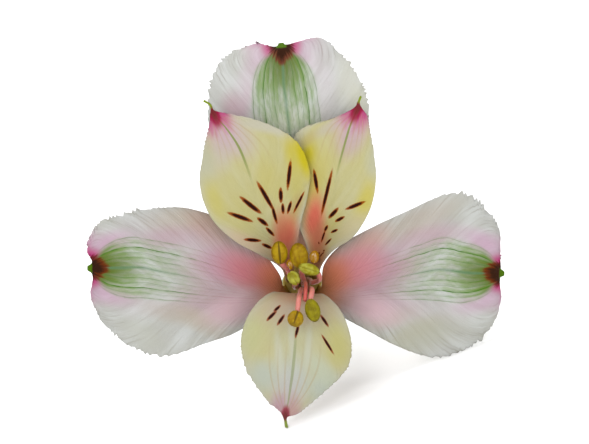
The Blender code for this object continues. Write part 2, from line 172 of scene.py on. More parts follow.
INNER_LOWER = (
    ((1.7, -2.8, -18.5), (-0.2, -3.4, -18.5), (-2.3, -2.7, -18.5)),
    ((2.6, -2.0, -12.0), (-0.5, -2.3, -12.0), (-3.8, -1.7, -12.0)),
    ((4.0, -1.5, -7.9), (-0.8, -1.4, -7.6), (-5.8, -1.1, -7.9)),
    ((6.6, -3.6, -4.9), (-0.9, -3.0, -4.6), (-8.6, -2.9, -4.9)),
    ((8.4, -7.0, -3.6), (-1.2, -6.8, -2.6), (-10.9, -6.3, -3.6)),
    ((9.3, -11.3, -3.2), (-1.5, -11.4, -1.6), (-11.9, -10.6, -3.2)),
    ((8.7, -15.0, -3.3), (-1.9, -15.8, -1.5), (-11.1, -15.0, -3.3)),
    ((5.9, -18.4, -3.4), (-2.4, -19.4, -2.0), (-9.0, -18.7, -3.4)),
    ((2.4, -21.5, -3.4), (-2.8, -22.0, -2.6), (-6.6, -21.9, -3.4)),
    ((-1.0, -24.2, -3.6), (-3.2, -23.8, -3.1), (-4.4, -23.7, -3.6)),
    ((-3.1, -25.0, -3.6), (-3.4, -25.1, -3.5), (-3.7, -25.0, -3.6)),
    ((-2.9, -27.0, -3.2), (-3.1, -27.1, -3.1), (-3.3, -27.0, -3.2)),
)

# A stamen is the way its filament runs, the middle of its anther, the way the anther points, and the
# anther's length, width and depth. All are seen as the tepals are, with x, y and z.
STAMENS = {
    "upper_left": (
        ((-1.5, 1.5, -22.0), (-2.3, 2.0, -15.0), (-3.2, 3.6, -10.5)),
        (-4.5, 6.6, -7.6), (-0.1, 1.0, 0.3), (4.7, 3.0, 2.6),
    ),
    "upper": (
        ((0.0, 1.7, -22.0), (0.1, 1.5, -15.0), (-0.2, 2.6, -11.4)),
        (-0.75, 6.0, -8.4), (-0.15, 1.0, 0.2), (5.2, 3.4, 2.6),
    ),
    "upper_right": (
        ((1.5, 1.2, -22.0), (1.9, 0.9, -14.0), (3.2, 1.4, -8.2)),
        (1.2, 3.4, -4.4), (-1.0, 0.3, 0.3), (4.5, 2.1, 2.1),
    ),
    "lower_left": (
        ((-1.5, 0.0, -22.0), (-1.6, 0.3, -12.0), (-1.2, 0.8, -4.6)),
        (-1.75, 1.7, -0.6), (-0.2, 0.3, 1.0), (4.0, 2.1, 2.7),
    ),
    "lower_right": (
        ((1.3, -0.6, -22.0), (1.5, -0.4, -11.0), (1.8, -0.6, -1.2)),
        (1.9, -4.5, 2.4), (0.26, -1.0, 0.2), (4.6, 2.7, 2.3),
    ),
    "lower": (
        ((0.0, -1.4, -22.0), (-0.3, -0.5, -9.0), (-0.7, -2.0, 1.0)),
        (-1.4, -6.1, 4.2), (-0.2, -0.55, 0.8), (4.0, 2.9, 2.5),
    ),
}
STYLE_ROUTE = ((0.15, 0.3, -20.0), (0.5, 0.9, -8.0), (0.55, -0.4, -0.6), (0.45, -2.6, 1.4))
STALK_ROUTE = ((0.2, -0.4, -60.0), (1.0, -0.9, -80.0), (1.7, -0.6, -100.0), (1.6, 0.9, -119.0))

# Dark streaks, as the x and y of both ends, seen on the plane of the throat, and the width
LEFT_STREAKS = (
    (-8.5, 19.8, -5.8, 15.1, 0.75), (-5.9, 15.5, -5.1, 12.6, 0.62), (-11.7, 17.1, -8.4, 14.5, 0.85),
    (-14.0, 14.2, -10.1, 12.8, 0.8), (-8.6, 13.3, -6.9, 12.0, 0.75), (-7.0, 11.4, -5.7, 10.1, 0.62),
    (-11.1, 9.2, -8.4, 9.0, 0.68), (-7.8, 8.3, -6.2, 7.6, 0.62), (-2.4, 23.9, -2.9, 19.3, 0.72),
    (-4.3, 18.9, -4.2, 16.5, 0.74), (-3.9, 16.0, -3.8, 14.3, 0.6), (-2.3, 16.4, -2.9, 14.4, 0.58),
    (0.1, 18.0, -1.6, 14.7, 0.5),
)
RIGHT_STREAKS = (
    (2.2, 22.3, 2.8, 18.6, 0.66), (5.5, 21.8, 3.8, 14.7, 0.62), (11.6, 16.3, 8.6, 15.1, 0.72),
    (6.7, 15.1, 5.2, 13.5, 0.72), (7.9, 13.5, 6.4, 12.7, 0.6), (4.8, 11.9, 4.3, 10.9, 0.5),
    (4.3, 10.8, 3.7, 8.9, 0.36), (6.7, 11.1, 5.6, 10.6, 0.5), (5.5, 9.3, 4.5, 8.2, 0.4),
    (3.1, 8.8, 3.2, 8.4, 0.24), (3.3, 6.8, 3.2, 6.3, 0.3), (3.8, 6.4, 3.5, 5.9, 0.28),
    (4.3, 7.2, 4.1, 6.9, 0.3), (4.2, 6.7, 3.7, 6.3, 0.24),
)
LOWER_STREAKS = (
    (-4.4, -3.7, -5.5, -4.7, 0.52), (-5.2, -4.8, -6.8, -6.4, 0.6), (-3.6, -5.5, -4.8, -7.2, 0.6),
    (-0.8, -7.3, -1.4, -9.6, 0.6), (3.5, -5.6, 4.8, -7.5, 0.54), (3.8, -9.5, 5.7, -12.6, 0.5),
)


def seen_from_eye(point):
    """The point in the flower frame at this z that the eye sees at this x and y of the throat's plane."""
    x, y, z = point
    nearer = (EYE.z - z) / EYE.z
    return Vector((EYE.x + (x - EYE.x) * nearer, EYE.y + (y - EYE.y) * nearer, z))


def on_front(point):
    """The x and y of the throat's plane at which the eye sees a point of the flower frame, and its z."""
    nearer = EYE.z / (EYE.z - point.z)
    return Vector((EYE.x + (point.x - EYE.x) * nearer, EYE.y + (point.y - EYE.y) * nearer, point.z))


def on_curve(points, place):
    """A point on the smooth curve through the points, with place from 0 at the first to 1 at the last."""
    last = len(points) - 1
    at = min(max(place, 0.0), 1.0) * last
    i = min(int(at), last - 1)
    s = at - i
    b, c = points[i], points[i + 1]
    a = points[i - 1] if i > 0 else 2 * b - c
    d = points[i + 2] if i + 2 <= last else 2 * c - b
    return 0.5 * (2 * b + (c - a) * s + (2 * a - 5 * b + 4 * c - d) * s**2 + (3 * b - a - 3 * c + d) * s**3)


def ease(value, start, end):
    """0 at start and 1 at end, with soft ends. The start may be above the end."""
    share = min(max((value - start) / (end - start), 0.0), 1.0)
    return share * share * (3.0 - 2.0 * share)


def finish_mesh(name, bm, materials, nodes=()):
    """Lays a bmesh of the flower frame down as a finished piece, which may stand for nodes of the frame."""
    mesh = bpy.data.meshes.new(name)
    bm.to_mesh(mesh)
    bm.free()
    mesh.transform(LAY_DOWN)
    mesh.shade_smooth()
    for material in materials:
        mesh.materials.append(material)
    piece = bpy.data.objects.new(name, mesh)
    bpy.context.scene.collection.objects.link(piece)
    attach(piece, "root")
    if nodes:
        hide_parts(*nodes)
    return piece


class Green:
    """The green middle of an outer tepal: how far it reaches from the tip, its width, its shift to a side."""

    def __init__(self, reach, width, shift):
        self.reach, self.width, self.shift = reach, width, shift


class Grade:
    """The correction of a tepal's colour: how much deeper, and its level."""

    def __init__(self, depth, level):
        self.depth, self.level = depth, level


class Folds:
    """How a tepal's sheet is folded.

    These are the size of its teeth, the size and number of its rim's waves, the depth of its creases and of
    its middle groove, and a seed.
    """

    def __init__(self, teeth, wave, waves, crease, groove, seed):
        self.teeth, self.wave, self.waves = teeth, wave, waves
        self.crease, self.groove, self.seed = crease, groove, seed


class Paint:
    """A material painted in layers. Each small step makes a node or two and returns the last output."""

    def __init__(self, name, roughness, specular, subsurface=0.0, coat=0.0):
        self.material = bpy.data.materials.new(name)
        self.material.use_nodes = True
        self.tree = self.material.node_tree
        self.shader = self.tree.nodes["Principled BSDF"]
        self.skin = None
        settings = {
            "Roughness": roughness,
            "Specular IOR Level": specular,
            "Subsurface Weight": subsurface,
            "Subsurface Scale": 0.0008,
            "Coat Weight": coat,
        }
        for socket, value in settings.items():
            self.shader.inputs[socket].default_value = value

    def node(self, kind, **values):
        made = self.tree.nodes.new(kind)
        for name, value in values.items():
            setattr(made, name, value)
        return made

    def feed(self, socket, value):
        """Links a socket to another, or sets its value."""
        if isinstance(value, bpy.types.NodeSocket):
            self.tree.links.new(value, socket)
        elif isinstance(value, tuple) and socket.type == "RGBA":
            socket.default_value = (*value, 1.0)
        else:
            socket.default_value = value

    def attribute(self, name):
        return self.node("ShaderNodeAttribute", attribute_name=name).outputs["Vector"]

    def object_place(self):
        return self.node("ShaderNodeTexCoord").outputs["Object"]

    def split(self, vector):
        parts = self.node("ShaderNodeSeparateXYZ")
        self.feed(parts.inputs[0], vector)
        return parts.outputs

    def join(self, x, y, z=0.0):
        whole = self.node("ShaderNodeCombineXYZ")
        for socket, value in zip(whole.inputs, (x, y, z)):
            self.feed(socket, value)
        return whole.outputs[0]

    def work(self, operation, *values):
        worker = self.node("ShaderNodeMath", operation=operation)
        for socket, value in zip(worker.inputs, values):
            self.feed(socket, value)
        return worker.outputs[0]

    def times(self, value, factor):
        return self.work("MULTIPLY", value, factor)

    def plus(self, value, other):
        return self.work("ADD", value, other)

    def times_plus(self, value, factor, other):
        return self.work("MULTIPLY_ADD", value, factor, other)

    def unsigned(self, value):
        return self.work("ABSOLUTE", value)

    def fade(self, value, start, end, low=0.0, high=1.0):
        """low at start and high at end, with soft ends."""
        worker = self.node("ShaderNodeMapRange", interpolation_type="SMOOTHSTEP")
        for socket, setting in zip(worker.inputs, (value, start, end, low, high)):
            self.feed(socket, setting)
        return worker.outputs[0]

    def local(self, vector, centre, angle, size):
        """The vector as seen from a centre, turned by the angle in degrees and divided by a size."""
        worker = self.node("ShaderNodeMapping", vector_type="TEXTURE")
        self.feed(worker.inputs["Vector"], vector)
        worker.inputs["Location"].default_value = (*centre, 0.0)
        worker.inputs["Rotation"].default_value = (0.0, 0.0, math.radians(angle))
        worker.inputs["Scale"].default_value = (*size, 1.0)
        return worker.outputs[0]

    def flat_length(self, vector):
        """The length of a vector's x and y."""
        x, y, _ = self.split(vector)
        return self.work("SQRT", self.plus(self.times(x, x), self.times(y, y)))

    def noise(self, vector, scale, detail=2.0, rough=0.5):
        worker = self.node("ShaderNodeTexNoise")
        settings = {"Vector": vector, "Scale": scale, "Detail": detail, "Roughness": rough}
        for socket, value in settings.items():
            self.feed(worker.inputs[socket], value)
        return worker.outputs["Fac"]

    def blend(self, share, under, over):
        worker = self.node("ShaderNodeMix", data_type="RGBA")
        for socket, value in ((0, share), (6, under), (7, over)):
            self.feed(worker.inputs[socket], value)
        return worker.outputs[2]

    def lay(self, colour, share, strength):
        """Lays a colour over the skin as painted so far, by a share times a strength."""
        self.skin = self.blend(self.times(share, strength), self.skin, colour)

    def correct(self, depth, level):
        """Makes the skin's colour deeper and multiplies it by a level."""
        worker = self.node("ShaderNodeHueSaturation")
        for socket, value in (("Saturation", depth), ("Value", level), ("Color", self.skin)):
            self.feed(worker.inputs[socket], value)
        self.skin = worker.outputs[0]

    def bump(self, height, strength, distance):
        worker = self.node("ShaderNodeBump")
        for socket, value in (("Strength", strength), ("Distance", distance), ("Height", height)):
            self.feed(worker.inputs[socket], value)
        self.feed(self.shader.inputs["Normal"], worker.outputs[0])

    def finish(self):
        self.feed(self.shader.inputs["Base Color"], self.skin)
        return self.material


class TepalPaint(Paint):
    """The paint on one side of a tepal, which knows where each point of the tepal lies.

    across is -1 at the left edge and 1 at the right one, and edge is across without its sign. along is 0 at
    the claw and 1 at the tip. run and side are millimetres from the tip, back along the tepal and sideways,
    and off is side without its sign. depth is z in the flower frame.
    """

    def __init__(self, name, tip, heading):
        super().__init__(name, roughness=0.6, specular=0.08)
        self.tip, self.heading = tip, heading
        self.front = self.attribute("front")
        self.across, self.along, self.fan = self.split(self.attribute("blade"))
        self.edge = self.unsigned(self.across)
        _, _, self.depth = self.split(self.front)
        self.run, self.side, _ = self.split(self.local(self.front, tip, heading, (1.0, 1.0)))
        self.off = self.unsigned(self.side)

    def from_tip(self, long=1.0, wide=1.0):
        """The distance from the tip, with long and wide as the units along the tepal and across it."""
        return self.flat_length(self.local(self.front, self.tip, self.heading, (long, wide)))

    def lay_patches(self, patches):
        """Lays soft round patches, each with its centre, angle, two radii, colour and strength."""
        for x, y, angle, long, wide, colour, strength in patches:
            reach = self.flat_length(self.local(self.front, (x, y), angle, (long, wide)))
            self.lay(colour, self.fade(reach, 1.0, PATCH_CORE), strength)

    def lay_fan(self, pale, dark, strength):
        """Lays lines that fan out from the middle of the tepal to its edges. Returns the fine ones."""
        fine = self.join(self.times(self.fan, FINE_LINES), self.times(self.across, 1.6))
        lines = self.noise(fine, 1.0, 3.0, 0.6)
        broad = self.join(self.times(self.fan, BROAD_LINES), self.times(self.across, 1.4), 3.0)
        near_edge = self.fade(self.edge, 0.25, 0.8)
        self.lay(pale, self.fade(self.noise(broad, 1.0), 0.42, 0.68), strength)
        self.lay(dark, self.times(self.fade(lines, 0.5, 0.78), near_edge), strength)
        self.lay(pale, self.times(self.fade(lines, 0.46, 0.26), near_edge), strength * 0.8)
        return lines

    def lay_streaks(self, streaks):
        """Lays dark tapering streaks with a red-brown rim. Their edges are a little ragged."""
        ragged = self.noise(self.front, 2.4, 3.0)
        nearest = None
        for x0, y0, x1, y1, width in streaks:
            middle = ((x0 + x1) / 2, (y0 + y1) / 2)
            angle = math.degrees(math.atan2(y1 - y0, x1 - x0))
            half = math.hypot(x1 - x0, y1 - y0) / 2
            size = (half * STREAK_LONG, width * STREAK_WIDE)
            reach = self.flat_length(self.local(self.front, middle, angle, size))
            nearest = reach if nearest is None else self.work("MINIMUM", nearest, reach)
        nearest = self.plus(nearest, self.times_plus(ragged, 0.4, -0.2))
        self.lay(STREAK_RIM, self.fade(nearest, 1.55, 1.15), 0.9)
        self.lay(STREAK_CORE, self.fade(nearest, 1.1, 0.75), 0.98)

    def lay_throat(self, colour, start, strength):
        """Lays a colour below a depth in the throat, and olive below that, partly the claws' own olive and
        partly painted shade that grows stronger deeper in the throat.
        """
        self.lay(colour, self.fade(self.depth, start, start - 9.0), strength)
        # Painted shade, partly the claws' own olive: the olive grows stronger towards the bottom of the
        # throat
        self.lay(OLIVE, self.fade(self.depth, start - 6.0, -30.0), 0.9)

    def lay_back(self, colour, veil, keel, keel_width):
        """Pales the skin as on a tepal's back, and draws the keel along its middle."""
        self.skin = self.blend(veil, self.skin, colour)
        self.lay(keel, self.fade(self.edge, keel_width, 0.02), 0.5)

    def finish_tepal(self, lines, grain, strength, distance, grade):
        """Adds the relief of the lines and of a grain, corrects the colour and returns the material."""
        self.bump(self.times_plus(self.noise(self.front, grain), 0.3, lines), strength, distance)
        self.correct(grade.depth, grade.level)
        return self.finish()


def tint(red, green, blue):
    """A surface colour, from the one that the lit screen should show, with each part from 0 to 255."""
    lit = [(c / 255 / 12.92) if c <= 10 else ((c / 255 + 0.055) / 1.055) ** 2.4 for c in (red, green, blue)]
    return tuple(c / STUDIO_GAIN for c in lit)


# Colours of the flower, as the lit screen shows them
WHITE = tint(194, 194, 193)
GREY_GREEN_WHITE = tint(188, 189, 179)
LILAC = tint(202, 168, 190)
PINK = tint(198, 152, 170)
MAGENTA = tint(190, 74, 128)
PALE_MAGENTA = tint(184, 96, 134)
SALMON = tint(220, 122, 104)
PALE_SALMON = tint(226, 158, 124)
MAROON = tint(156, 34, 66)
BURNT_BROWN = tint(112, 40, 34)
TIP_BROWN = tint(50, 22, 2)
LEAF_GREEN = tint(84, 120, 24)
THREAD_GREEN = tint(140, 158, 60)
VEIN_GREEN = tint(76, 118, 50)
MOSS_GREEN = tint(114, 144, 66)
WASH_GREEN = tint(150, 173, 124)
DARK_GREEN = tint(92, 106, 44)
BLUE_GREEN = tint(104, 138, 112)
MIDRIB_GREEN = tint(136, 148, 84)
VEIN_PINK = tint(186, 112, 138)
VEIN_TAN = tint(180, 158, 112)
CREAM = tint(196, 188, 132)
PALE_CREAM = tint(195, 188, 170)
YELLOW = tint(197, 188, 112)
DEEP_YELLOW = tint(199, 185, 56)
TAN = tint(184, 158, 134)
OLIVE = tint(140, 110, 30)
STREAK_CORE = tint(34, 0, 0)
STREAK_RIM = tint(150, 62, 12)


def paint_green_middle(paint, green):
    """The veined green middle of an outer tepal. Returns its mottle, which frays the brown of the tip too.

    It spreads from the tip, then follows the blade towards the claw. The place is 0 on the midrib and -1 or
    1 at the edges of the green.
    """
    run = paint.run
    ahead = paint.work("EXPONENT", paint.times(paint.work("MAXIMUM", run, 0.1), -2.0 / green.width))
    spread = paint.times_plus(ahead, -green.width, green.width)
    by_tip = paint.work("DIVIDE", paint.side, spread)
    shifted = paint.work("SUBTRACT", paint.across, green.shift)
    by_blade = paint.work("DIVIDE", shifted, green.width / BLADE_HALF)
    by_tip = paint.times(by_tip, paint.fade(run, 14.0, 7.0))
    by_blade = paint.times(by_blade, paint.fade(run, 7.0, 14.0))
    wander = paint.times_plus(paint.noise(paint.front, 0.35), 2.0, -1.0)
    place = paint.times_plus(wander, 0.035, paint.plus(by_tip, by_blade))
    apart = paint.unsigned(place)

    inside = paint.fade(apart, 1.16, 0.7)
    beside = paint.times(paint.fade(apart, 1.9, 1.15), paint.fade(apart, 0.9, 1.1))
    paint.lay(LILAC, paint.times(beside, paint.fade(run, green.reach + 14.0, 2.0)), 0.14)
    stripes = paint.join(paint.times(place, 7.0), paint.times(run, 0.16), paint.depth)
    mottle = paint.noise(stripes, 1.0, 3.0, 0.55)
    wash = paint.times(inside, paint.fade(run, green.reach + 8.0, 2.0))
    paint.lay(WASH_GREEN, wash, paint.fade(mottle, 0.34, 0.7, 0.1, 0.8))
    leafy = paint.times(inside, paint.fade(run, green.reach * 0.68, 1.0))
    paint.lay(MOSS_GREEN, leafy, paint.fade(mottle, 0.25, 0.65, 0.35, 0.95))
    paint.lay(DARK_GREEN, paint.fade(paint.from_tip(12.0, 5.4), 1.0, 0.25), 0.9)

    # The veins, of which the middle and outermost ones are the strongest
    shown = paint.fade(paint.noise(paint.front, 0.5), 0.3, 0.6, 0.45, 1.0)
    main = paint.fade(paint.unsigned(paint.work("SUBTRACT", apart, 0.66)), 0.3, 0.08, 0.55, 1.0)
    kept = paint.times(paint.times(paint.fade(apart, 1.12, 1.02), shown), main)
    for count, width, strength, start in VEIN_SETS:
        step = paint.work("PINGPONG", paint.times_plus(place, count, 12.0 + start), 0.5)
        gap = paint.times(step, paint.work("DIVIDE", spread, count))
        line = paint.times(paint.fade(gap, width, width * 0.25), kept)
        pinks = paint.times(line, paint.fade(run, green.reach - 4.0, green.reach + 10.0))
        greens = paint.times(line, paint.fade(run, green.reach + 10.0, green.reach - 6.0))
        paint.lay(VEIN_PINK, pinks, strength * 0.45)
        paint.lay(VEIN_GREEN, greens, strength)
    midrib = paint.times(paint.fade(apart, 0.09, 0.01), paint.fade(run, green.reach + 6.0, 4.0))
    paint.lay(BLUE_GREEN, midrib, 0.55)
    return mottle


def paint_outer_tip(paint, mottle, back):
    """Pale magenta shoulders, deepest beside the tip, then the burnt brown under it and its green point."""
    run, off, away = paint.run, paint.off, paint.from_tip()
    shoulder = paint.fade(paint.work("SUBTRACT", off, paint.times(run, 0.95)), -0.4, 1.4)
    margin = paint.times(paint.fade(paint.edge, 0.7, 0.95), paint.fade(away, 8.0, 2.5))
    paint.lay(PALE_MAGENTA, margin, 0.75)
    paint.lay(LILAC, paint.times(shoulder, paint.fade(away, 9.5, 3.0)), 0.65)
    paint.lay(MAGENTA, paint.times(shoulder, paint.fade(away, 4.8, 2.6)), 0.85)
    burn = paint.times_plus(mottle, -0.9, paint.plus(paint.from_tip(4.5, 2.9), 0.45))
    paint.lay(TAN if back else BURNT_BROWN, paint.fade(burn, 1.0, 0.75), 0.85)
    paint.lay(TIP_BROWN, paint.fade(burn, 0.82, 0.5), 0.3 if back else 0.97)
    paint.lay(LEAF_GREEN, paint.fade(run, 1.15, 0.75), paint.fade(off, 1.2, 0.8))


def paint_outer(name, tip, heading, patches, green, grade, back):
    """An outer tepal: white with a veined green middle, brown under the tip and magenta on its shoulders."""
    paint = TepalPaint(name, tip, heading)
    paint.skin = paint.blend(paint.noise(paint.front, 0.12), WHITE, GREY_GREEN_WHITE)
    lines = paint.lay_fan(tint(210, 212, 210), tint(152, 150, 138), 0.85)
    paint.lay_patches(patches)
    mottle = paint_green_middle(paint, green)
    paint_outer_tip(paint, mottle, back)
    paint.lay_throat(PALE_SALMON, -14.0, 0.7)
    if back:
        paint.lay_back(tint(204, 206, 190), 0.45, WASH_GREEN, 0.16)
    return paint.finish_tepal(lines, 6.0, 0.6, 0.0003, grade)


def paint_inner_tip(paint, blush):
    """Lilac round the tip of an inner tepal, and streaky magenta beside its midrib."""
    run, off = paint.run, paint.off
    paint.lay(LILAC, paint.fade(paint.from_tip(12.0, 5.4), 1.0, 0.2), 0.75 * blush)
    streaky = paint.noise(paint.join(paint.times(paint.across, 9.0), paint.times(run, 0.3)), 1.0)
    beside = paint.times(paint.fade(off, 0.2, 0.7), paint.fade(off, 3.6, 1.6))
    beside = paint.times(beside, paint.fade(paint.times_plus(streaky, 4.0, run), 8.0, 3.2))
    paint.lay(tint(188, 74, 126), beside, 0.88 * blush)


def paint_inner_veins(paint, blush):
    """The green midrib of an inner tepal, and three faint veins on either side of it."""
    rib = paint.times(paint.fade(paint.edge, 0.045, 0.012), paint.fade(paint.along, 0.4, 0.8))
    paint.lay(MIDRIB_GREEN, paint.fade(rib, 0.0, 0.35), 0.35 + 0.55 * blush)
    for offset in (-0.46, -0.3, -0.15, 0.15, 0.3, 0.46):
        vein = paint.fade(paint.unsigned(paint.plus(paint.across, offset)), 0.03, 0.006)
        paint.lay(VEIN_TAN, paint.times(vein, paint.fade(paint.along, 0.45, 0.7)), 0.4)


def paint_inner_thread(paint, blush):
    """The maroon wedge at the tip of an inner tepal, and the green thread that it ends in."""
    wedge = paint.from_tip(1.6 + 2.6 * blush, 0.8 + 0.5 * blush)
    paint.lay(MAROON, paint.fade(wedge, 1.1, 0.6), 0.9)
    paint.lay(tint(104, 42, 36), paint.fade(wedge, 0.7, 0.25), 0.7)
    paint.lay(THREAD_GREEN, paint.fade(paint.run, -0.3, -1.1), 1.0)


def paint_inner(name, tip, heading, patches, streaks, blush, grade, back):
    """An inner tepal: cream and yellow with a green midrib, dark streaks and a magenta tip."""
    paint = TepalPaint(name, tip, heading)
    paint.skin = paint.blend(paint.noise(paint.front, 0.15), CREAM, tint(194, 190, 144))
    paint.lay(tint(194, 192, 176), paint.fade(paint.edge, 0.72, 1.0), 0.75)
    lines = paint.lay_fan(tint(208, 204, 172), tint(176, 166, 112), 0.3)
    paint.lay_patches(patches)
    paint_inner_tip(paint, blush)
    paint_inner_veins(paint, blush)
    paint_inner_thread(paint, blush)
    if not back:
        paint.lay_streaks(streaks)
    paint.lay_throat(tint(186, 130, 92), -15.0, 0.75)
    if back:
        paint.lay_back(tint(206, 200, 176), 0.35, tint(176, 186, 130), 0.14)
    return paint.finish_tepal(lines, 7.0, 0.45, 0.00025, grade)


def claw_rung(angle, radius, width, z):
    """The left edge, middle and right edge of a claw that stands on its ring at this height."""
    outward = Vector((math.cos(angle), math.sin(angle), 0.0))
    leftward = Vector((-math.sin(angle), math.cos(angle), 0.0))
    middle = outward * radius + Vector((0.0, 0.0, z))
    return middle + leftward * width / 2, middle, middle - leftward * width / 2


def shape_outline(bm, edges, folds):
    """Lays a grid of the sheet on its edges and middle, with teeth along its rims.

    Returns for each vertex its place across, its place along the fan's lines, half the width there, and how
    much of the folds it takes.
    """
    front = bm.verts.layers.float_vector.new("front")
    blade = bm.verts.layers.float_vector.new("blade")
    bmesh.ops.create_grid(bm, x_segments=STEPS_ACROSS, y_segments=STEPS_ALONG, size=1.0)
    tooth_shift = Vector((folds.seed, 0.0, 0.0))
    rows = {}
    places = []
    for vert in bm.verts:
        across, along = vert.co.x, (vert.co.y + 1.0) / 2.0
        edge = abs(across)
        key = round(along, 6)
        if key not in rows:
            rows[key] = [on_curve(line, along) for line in edges]
        left, middle, right = rows[key]
        half_width = max((right - left).length / 2, 0.05)
        rim = left if across < 0 else right
        share = ease(along, *FOLDS_START) * ease(half_width, 0.3, 3.0)
        saw = (along * TEETH + 1.5 * noise.noise(rim * 0.4)) % 1.0
        tooth = saw**TOOTH_POWER * (0.45 + 1.1 * abs(noise.noise(rim * 0.7 + tooth_shift))) - 0.3
        tooth *= ease(along, *TEETH_END) * ease(along, *TEETH_START)
        reach = 1.0 + folds.teeth * tooth * share / max(half_width, 3.0) * edge**12
        bow = (left + right) / 2 - middle
        place = middle + (right - left) / 2 * across * reach + bow * across**2
        fan = along - FAN_TILT * edge
        vert[blade] = (across, along, fan)
        vert[front] = on_front(place)
        places.append((across, along, fan, half_width, share))
        vert.co = place
    return places


def fold_lift(across, along, fan, half_width, folds):
    """How far the folds lift the sheet: waves near its rims, fanned creases and a groove in its middle."""
    edge = abs(across)
    side = 1.0 if across > 0 else 1.7
    swing = noise.noise(Vector((along * folds.waves * side, folds.seed + side, edge * 0.8)))
    crease = noise.noise(Vector((fan * 46.0, edge * 1.5, folds.seed)))
    crease += 0.5 * noise.noise(Vector((fan * 95.0, edge * 2.0, folds.seed)))
    groove = math.exp(-((across * half_width / 0.55) ** 2)) * ease(half_width, 0.5, 4.0)
    beside_groove = 0.5 * math.cos(across * 9.0) * ease(edge, 0.75, 0.2)
    lift = folds.wave * swing * edge**2.5 + folds.crease * crease * ease(edge, 0.15, 0.75)
    return lift + folds.groove * (beside_groove - groove)


def make_tepal(name, radius, claw, rungs, folds, materials):
    """A thin curved sheet from its claw on the ovary through the rungs, painted on its face and its back."""
    angle = math.radians(RING_ANGLES[name])
    ladder = [
        claw_rung(angle, radius, claw, FOOT_Z),
        claw_rung(angle, radius + CLAW_FLARE, claw * CLAW_WIDENS, -TUBE_DEPTH + CLAW_RISE),
        *(tuple(seen_from_eye(point) for point in rung) for rung in rungs),
    ]
    edges = [[rung[i] for rung in ladder] for i in range(3)]
    bm = bmesh.new()
    places = shape_outline(bm, edges, folds)
    bm.normal_update()
    for vert, (across, along, fan, half_width, share) in zip(bm.verts, places):
        vert.co += vert.normal * fold_lift(across, along, fan, half_width, folds) * share
    piece = finish_mesh(name + "_blade", bm, materials, (name,))
    wall = piece.modifiers.new("thickness", "SOLIDIFY")
    wall.thickness = TEPAL_THICKNESS * MM
    wall.offset = 0.0
    wall.material_offset = 1


def make_tube(name, route, radius_at, material, nodes, around=24, steps=60):
    """A closed tube along a route, whose radius follows a function of the place along it and the angle."""
    bm = bmesh.new()
    run = bm.verts.layers.float_vector.new("run")
    bmesh.ops.create_grid(bm, x_segments=around, y_segments=steps, size=1.0)
    frames = []
    sideways = None
    for i in range(steps + 1):
        at = i / steps
        centre = on_curve(route, at)
        before, after = on_curve(route, max(at - 0.01, 0.0)), on_curve(route, min(at + 0.01, 1.0))
        heading = (after - before).normalized()
        if sideways is None:
            sideways = heading.orthogonal().normalized()
        sideways = (sideways - heading * sideways.dot(heading)).normalized()
        frames.append((centre, sideways, heading.cross(sideways)))
    for vert in bm.verts:
        angle, along = math.pi * vert.co.x, (vert.co.y + 1.0) / 2.0
        centre, out, up = frames[round(along * steps)]
        radius = radius_at(along, angle)
        vert[run] = (math.cos(angle), math.sin(angle), along)
        vert.co = centre + (out * math.cos(angle) + up * math.sin(angle)) * radius
    bmesh.ops.remove_doubles(bm, verts=bm.verts, dist=0.0001)
    rims = [edge for edge in bm.edges if edge.is_boundary]
    bmesh.ops.holes_fill(bm, edges=rims, sides=0)
    bmesh.ops.recalc_face_normals(bm, faces=bm.faces)
    return finish_mesh(name, bm, (material,), nodes)


def make_anther(name, middle, pointing, size, seam_shade_strength, material):
    """A pollen head of two swollen lobes, with seams down its face, its sides and its back."""
    length, width, depth = size
    bm = bmesh.new()
    lobe = bm.verts.layers.float_vector.new("lobe")
    bmesh.ops.create_uvsphere(bm, u_segments=64, v_segments=40, radius=0.5)
    centre = seen_from_eye(middle)
    along = Vector(pointing).normalized()
    turn = along.to_track_quat("Z", "Y").to_matrix()
    to_eye = turn.transposed() @ (EYE - centre).normalized()
    face_angle = math.atan2(to_eye.y / depth, to_eye.x / width)
    for vert in bm.verts:
        angle = math.atan2(vert.co.y, vert.co.x)
        height = vert.co.z * 2.0
        turned = (angle - face_angle + math.pi) % (2 * math.pi) - math.pi
        seam = 0.2 * math.exp(-((turned / 0.17) ** 2))
        seam += 0.1 * math.exp(-(((abs(turned) - 1.25) / 0.12) ** 2))
        seam += 0.14 * math.exp(-(((abs(turned) - math.pi) / 0.2) ** 2))
        belly = ease(abs(height), 1.0, 0.75)
        grain = 0.02 * noise.noise(vert.co * 14.0 + centre)
        squeeze = (1.0 - seam * belly + grain) * (1.0 + 0.08 * (1.0 - height**2))
        # The seam's share is scaled by the strength of its painted shade; only the paint reads the scaled
        # share
        seam *= seam_shade_strength
        vert[lobe] = (turned, height, seam)
        vert.co = Vector((vert.co.x * width * squeeze, vert.co.y * depth * squeeze, vert.co.z * length))
    bmesh.ops.rotate(bm, matrix=turn, verts=bm.verts)
    bmesh.ops.translate(bm, vec=centre, verts=bm.verts)
    return finish_mesh(name + "_head", bm, (material,), (name,))


def ovary_radius(height):
    """The ovary swells from its foot to its widest near the top, and draws in a little above that."""
    swell = math.sin(math.pi * OVARY_SWELL_END * height)
    return OVARY_FOOT_RADIUS + (OVARY_RADIUS - OVARY_FOOT_RADIUS) * swell


